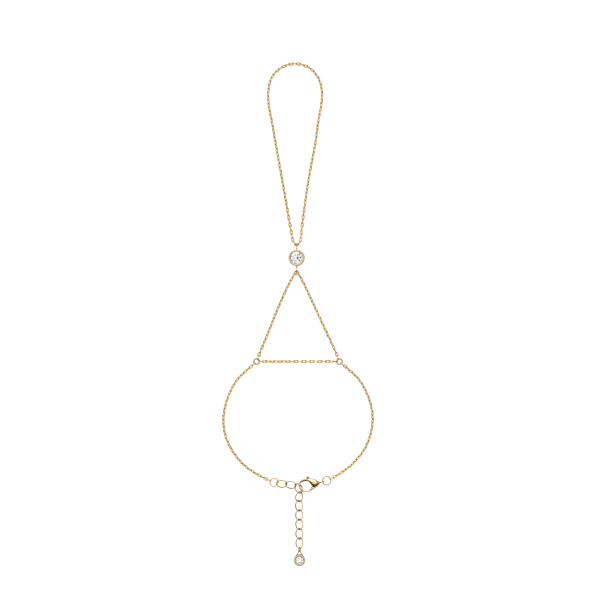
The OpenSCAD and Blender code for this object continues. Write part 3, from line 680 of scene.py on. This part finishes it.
def knob_shell(centre, half_high, half_wide, ribs, depth, rows=15, sides=96):
    """A flattened ball about the line out from the claw: half_high cos t along it, and round it a radius of half_wide
    sin t (1 - depth cos²) with the cosine of half the ribs' turn, for t from pole to pole."""
    out = np.append(on_claw(knob_angle, 1.0) - claw_at, 0)
    aside = np.array([-out[1], out[0], 0])
    t = np.linspace(0, np.pi, rows)[:, None]
    turn = (np.arange(sides) / sides * 2 * np.pi)[None]
    r = half_wide * np.sin(t) * (1 - depth * np.cos(ribs * turn / 2) ** 2)
    points = (
        np.array(centre)
        + (half_high * np.cos(t) * np.ones_like(turn))[..., None] * out
        + (r * np.cos(turn))[..., None] * aside
        + (r * np.sin(turn))[..., None] * (0, 0, 1)
    )
    return at_clasp(points), grid_faces(rows, sides, False)


make_piece("lever_inner_side", [clasp_loft(lever_inner_side, soft=0.6)], painted_shade_cast_gold, body="lever")
# The knob's ribs keep the wheel off it, so it is duller; its darker, greyer gold is painted shade.
knob_gold_painted_shade = gold_finish(
    "cast gold knob, painted darker", "#B0905E", "#5C4220", reach=0.6, smooth=0.25, worn=0.4, patch=0.3, scratch=0.06
)
knob_at = (*on_claw(knob_angle, 2.98), clasp_mid_z)
knob = knob_shell(knob_at, half_high=0.36, half_wide=0.48, ribs=12, depth=0.16)
make_piece("lever_knob", [knob], knob_gold_painted_shade, body="lever")

# The extender: nine oval links of 0.45 mm wire, their sides twisted up and down like a curb chain's. The third one
# is hooked in the clasp, and five hang in a straight run below it.
extender_pitch, fall_links, fall_drift = 3.27, 5, 0.17
# The hooked run: each link's place from the extender ring, its roll, tip and heading, and its lift off the table.
hooked_lie = [
    (2.65, -0.5, -13, -3, -2, 0),
    (5.85, -0.85, -8, -4, -9, 0.2),
    (8.65, -2, -6, -20, -57, 0),
    (8.75, -5, -10, 16, -94, 0.05),
]
fall_top = np.array([0.33, -65.37])
fall_way = np.array([fall_drift, -np.sqrt((fall_links * extender_pitch) ** 2 - fall_drift**2)])
loop_rows, loop_sides, loop_wire_r = 60, 12, 0.225
half_long, half_wide, twist = 1.86, 1.2, 0.425
loop_turn = np.arange(loop_rows) / loop_rows * 2 * np.pi
loop_path = np.stack(
    [half_long * np.cos(loop_turn), half_wide * np.sin(loop_turn), twist * np.sin(2 * loop_turn)], 1
)


def extender_link(at, roll, tip, heading, lift):
    """A twisted link, its wire's middle at half_long cos, half_wide sin and twist sin of twice the turn, rolled about
    x, tipped about y, headed about z, and set down with its lowest wire lift above z = 0. The lowest is taken from
    every third point, which are the points that the solid link has."""
    a, b, c = np.radians([roll, tip, heading])
    about_x = np.array([[1, 0, 0], [0, np.cos(a), -np.sin(a)], [0, np.sin(a), np.cos(a)]])
    about_y = np.array([[np.cos(b), 0, np.sin(b)], [0, 1, 0], [-np.sin(b), 0, np.cos(b)]])
    about_z = np.array([[np.cos(c), -np.sin(c), 0], [np.sin(c), np.cos(c), 0], [0, 0, 1]])
    turned = about_z @ about_y @ about_x
    wire = carried(loop_path, loop_wire_r, loop_wire_r, loop_sides, True) @ turned.T
    lowest = (loop_path[::3] @ turned.T)[:, 2].min()
    return wire + (*at, loop_wire_r - lowest + lift), grid_faces(loop_rows, loop_sides, True)


for number, (across, along, roll, tip, heading, lift) in enumerate(hooked_lie, 1):
    link = extender_link(extender_ring_at + (across, along), roll, tip, heading, lift)
    make_piece(f"extender_loop_{number}", [link], ring_gold, stands_for=[f"extender_link_{number}"])
fall_heading = np.degrees(np.arctan2(fall_way[1], fall_way[0]))
for step in range(fall_links):
    number = len(hooked_lie) + 1 + step
    link = extender_link(fall_top + fall_way * (step + 0.5) / fall_links, 0, 0, fall_heading, 0)
    make_piece(f"extender_loop_{number}", [link], ring_gold, stands_for=[f"extender_link_{number}"])

# The drop at the free end: a smaller cup of the same kind, less polished, hung from a leaning jump ring by a wire
# loop whose legs spread and are soldered into the cup's wall.
drop_x, drop_ring_lean, drop_ring_wire = 0.5, 22, 0.3
drop_ring_r, drop_hole_r, ring_gap = 0.75, 0.6, 0.11
# The solids' own link and loop sizes, from which the drop's place follows.
extender_wire, extender_gap, extender_twist = 0.38, 0.14, 0.46
drop_loop_r, drop_loop_wire, drop_post, drop_cup_r = 0.6, 0.36, 0.3, 2.0
drop_ring_z = drop_ring_r * np.cos(np.radians(drop_ring_lean)) + drop_ring_wire / 2
drop_link_in = np.sqrt(
    (drop_hole_r - ring_gap - extender_wire / 2) ** 2 - (drop_ring_z - extender_twist - extender_wire / 2) ** 2
)
drop_ring_y = fall_top[1] + fall_way[1] - (extender_wire + extender_gap) / 2 - drop_link_in
drop_loop_y = drop_ring_y - drop_hole_r + ring_gap + drop_loop_wire / 2 - drop_loop_r
drop_y = drop_loop_y - drop_loop_r - drop_post - drop_cup_r
# Half of the loop from its top down one leg and back to the middle under the lip, from the cup's middle.
loop_half = [
    (0, 3.5), (0.3, 3.4), (0.42, 3.12), (0.42, 2.85), (0.48, 2.58),
    (0.7, 2.26), (0.98, 1.94), (0.8, 1.68), (0.4, 1.76), (0, 1.8),
]  # fmt: skip
leg_wide, leg_high, leg_sides = 0.2, 0.18, 12
legs = smooth_route(loop_half + [(-x, y) for x, y in loop_half[-2:0:-1]], True, steps=4)[:-1]
legs = np.column_stack([legs + (drop_x, drop_y), np.full(len(legs), drop_ring_z)])
# Gold that is only tumbled: quieter lights than on the main cup, and deeper browns of painted shade.
satin_gold = gold_finish(
    "satin gold drop setting", "#DCC08C", "#5A421C", reach=0.9, smooth=0.14, worn=0.26, patch=0.8, scratch=0.12
)
make_piece(
    "drop_cup",
    [
        cup_shell((drop_x, drop_y), stone_d=3, wall=0.45, floor=0.2, rim_h=0.3),
        (carried(legs, leg_wide, leg_high, leg_sides, True), grid_faces(len(legs), leg_sides, True)),
    ],
    satin_gold,
    stands_for=["drop_setting"],
)

# The studio: a white light table, one large round softbox, a lower one on the far side and dim walls, so that
# polished gold shows clear lights and darks. A small dark hood overhead and a dark card behind the lens give the
# stones their dark facets, and darken the wires' and the clasp's tops where they face straight up.
table_half = 9
table_white = "#FAFAFA"


def stage_card(name, corners, finish):
    """One flat face through its corners, in metres, linked into the scene."""
    mesh = bpy.data.meshes.new(name)
    mesh.from_pydata(corners, [], [tuple(range(len(corners)))])
    mesh.materials.append(finish)
    card = bpy.data.objects.new(name, mesh)
    bpy.context.scene.collection.objects.link(card)
    return card


# White acrylic lit from below: it shows as white, and glows more weakly on the gold than it looks.
table_top, table_tree = bare_material("white acrylic light table")


def lit_acrylic(colour, glow):
    """Shader of a matt face of that colour with white light coming through it."""
    face = add_node(table_tree, "ShaderNodeBsdfDiffuse", {"Color": linear(colour)})
    lamp = add_node(table_tree, "ShaderNodeEmission", {"Color": linear(table_white), "Strength": glow})
    return add_node(table_tree, "ShaderNodeAddShader", {0: face.outputs["BSDF"], 1: lamp.outputs["Emission"]})


lit_table, dim_table = lit_acrylic(table_white, 0.75), lit_acrylic("#C8C4BC", 0.3)
seen = add_node(table_tree, "ShaderNodeLightPath", {}).outputs["Is Camera Ray"]
table_shader = add_node(
    table_tree, "ShaderNodeMixShader", {0: seen, 1: dim_table.outputs["Shader"], 2: lit_table.outputs["Shader"]}
)
add_node(table_tree, "ShaderNodeOutputMaterial", {"Surface": table_shader.outputs["Shader"]})
table_corners = [(x * table_half, y * table_half, 0) for x, y in ((-1, -1), (1, -1), (1, 1), (-1, 1))]
stage_card("light_table", table_corners, table_top)

world = bpy.data.worlds.new("soft studio")
bpy.context.scene.world = world
world.use_nodes = True
sky = world.node_tree
sky.nodes.clear()
direction = add_node(sky, "ShaderNodeTexCoord", {}).outputs["Generated"]
height = add_node(sky, "ShaderNodeSeparateXYZ", {"Vector": direction}).outputs["Z"]
level = add_node(
    sky, "ShaderNodeMapRange", {"Value": height, "From Min": 0.02, "From Max": 0.08, "To Min": 0.9, "To Max": 0.35}
).outputs["Result"]


def cone_level(toward, inner, outer, outside, inside):
    """Level that goes smoothly from inside to outside between those two angles, in degrees, from a direction."""
    aim = add_node(
        sky,
        "ShaderNodeVectorMath",
        {0: direction, 1: np.array(toward) / np.linalg.norm(toward)},
        operation="DOT_PRODUCT",
    )
    return add_node(
        sky,
        "ShaderNodeMapRange",
        {
            "Value": aim.outputs["Value"],
            "From Min": np.cos(np.radians(outer)),
            "From Max": np.cos(np.radians(inner)),
            "To Min": outside,
            "To Max": inside,
        },
        interpolation_type="SMOOTHSTEP",
    ).outputs["Result"]


# Each softbox's direction, the degrees from it up to which it is full and from which it is dark, and its strength.
softboxes = [
    ((-0.25, 0.4, 0.88), 36, 50, 1.35),
    ((-0.1, 0.9, 0.42), 20, 30, 0.7),
]
for toward, inner, outer, strength in softboxes:
    glow = cone_level(toward, inner, outer, 0.0, strength)
    level = add_node(sky, "ShaderNodeMath", {0: level, 1: glow}, operation="ADD").outputs["Value"]
hood = cone_level((-0.12, 0.03, 1), inner=6, outer=9, outside=1.0, inside=0.05)
level = add_node(sky, "ShaderNodeMath", {0: level, 1: hood}, operation="MULTIPLY").outputs["Value"]
# The background is 0.8 grey, so 1.25 times it is the white that the camera sees beyond the table.
white_level = 1.25
camera_ray = add_node(sky, "ShaderNodeLightPath", {}).outputs["Is Camera Ray"]
seen_level = add_node(sky, "ShaderNodeMix", {"Factor": camera_ray, "A": level, "B": white_level}).outputs["Result"]
light = add_node(sky, "ShaderNodeBackground", {"Strength": seen_level})
add_node(sky, "ShaderNodeOutputWorld", {"Surface": light.outputs["Background"]})

# The card stands 16 mm behind the lens. It is matt black, so that it gives back no light, and no view shows it.
view_middle = np.array([0.0007, 0.005])
shade_r, shade_z, shade_sides = 0.055, 0.6, 48
shade_turn = np.arange(shade_sides) / shade_sides * 2 * np.pi
shade_rim = view_middle + shade_r * np.stack([np.cos(shade_turn), np.sin(shade_turn)], 1)
black_card, black_tree = bare_material("black flocked card")
black = add_node(black_tree, "ShaderNodeBsdfDiffuse", {"Color": linear("#181818")})
add_node(black_tree, "ShaderNodeOutputMaterial", {"Surface": black.outputs["BSDF"]})
shade_corners = np.column_stack([shade_rim, np.full(shade_sides, shade_z)]).tolist()
stage_card("lens_shade", shade_corners, black_card).visible_camera = False

lens_length, sensor_width, view_width = 100, 36, 0.21
camera = bpy.data.objects.new("camera", bpy.data.cameras.new("camera"))
camera.data.lens, camera.data.sensor_width = lens_length, sensor_width
camera.data.clip_start, camera.data.clip_end = 0.01, 10
camera.location = (*view_middle, view_width / sensor_width * lens_length + chain_rest_z * mm)
bpy.context.scene.collection.objects.link(camera)
bpy.context.scene.camera = camera
bpy.context.scene.view_settings.view_transform = "Standard"
# The links are two to four pixels across, and denoising would smear them into a ribbon.
bpy.context.scene.cycles.use_denoising = False
